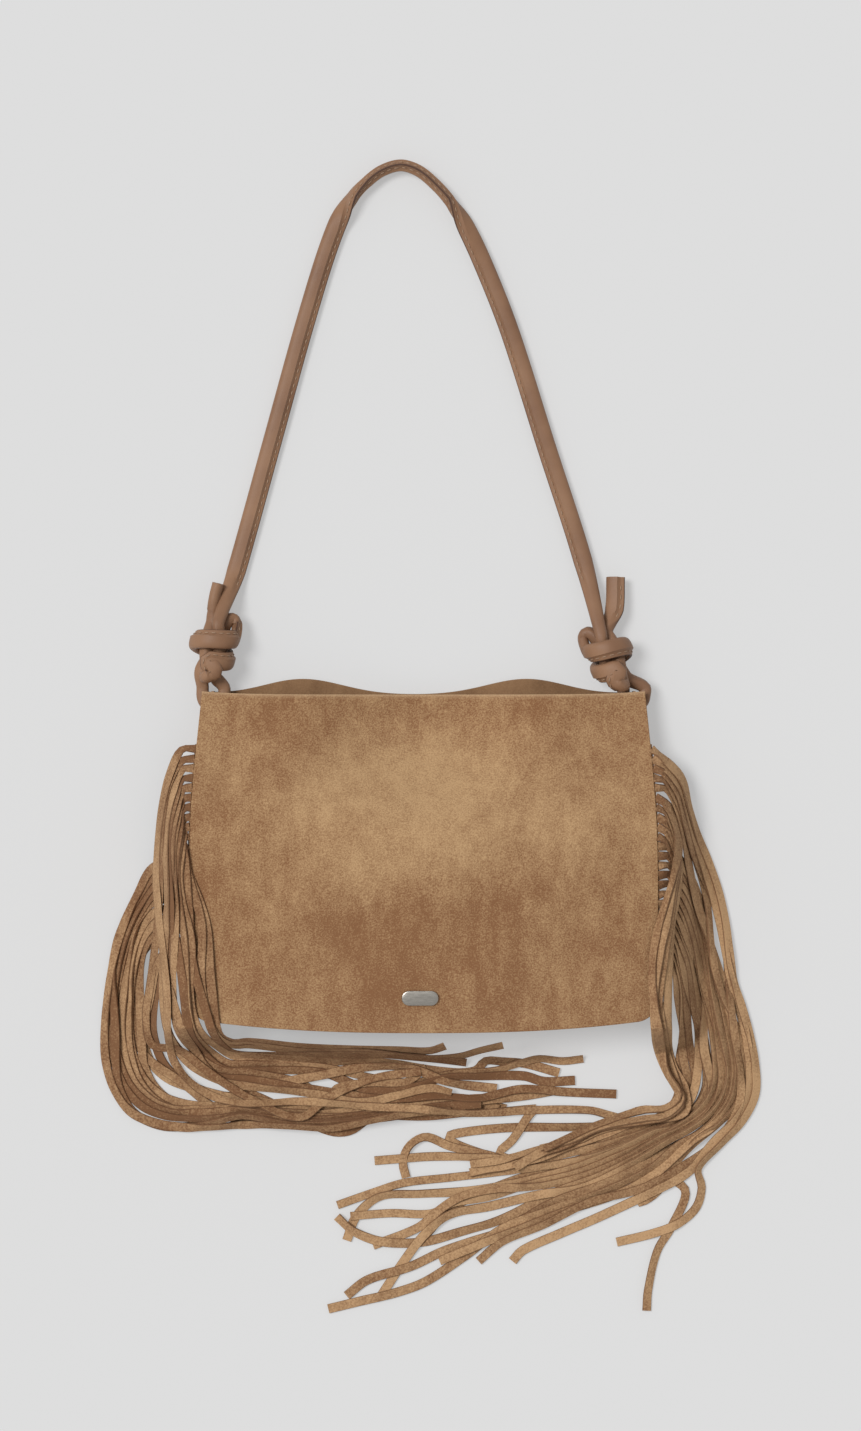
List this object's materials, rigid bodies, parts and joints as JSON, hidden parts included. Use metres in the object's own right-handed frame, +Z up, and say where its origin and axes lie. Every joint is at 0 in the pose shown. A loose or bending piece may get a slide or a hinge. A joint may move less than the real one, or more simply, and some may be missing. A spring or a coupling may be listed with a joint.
{
  "type": "fringed suede shoulder bag",
  "caption": "Soft suede shoulder bag with long cut-lace fringe down both side seams and a knotted leather strap, lying flat.",
  "frame": {"origin": "centre of the back panel's outer face, on the surface that the bag lies on", "axes": "+Y from the bag's bottom to its mouth and strap, +Z up out of the front panel, +X to the right seen from the front"},
  "size_m": [0.3952, 0.6966, 0.0684],
  "materials": {
    "suede": "napped suede, matt, patchy nap",
    "lace_suede": "cut suede laces, matt",
    "strap_leather": "smooth leather, low sheen, stitched edge",
    "lining": "woven lining",
    "metal": "warm plated metal, satin"
  },
  "bodies": {
    "bag": {"front_panel": "suede", "back_panel": "suede", "gusset": "suede", "front_facing": "suede", "back_facing": "suede", "lining": "lining", "snap_socket": "metal", "snap_stud": "metal", "eyelet_left": "metal", "eyelet_right": "metal", "eyelet_washer_left": "metal", "eyelet_washer_right": "metal", "emblem_plate": "metal", "fringe_left": "lace_suede", "fringe_right": "lace_suede"},
    "strap_body": {"strap": "strap_leather"}
  },
  "joints": [
    {"name": "strap_swing", "type": "hinge", "parent": "bag", "child": "strap_body", "pos_m": [0, 0.0935, 0.011], "axis": [1, 0, 0], "range_deg": [0, 12]}
  ]
}
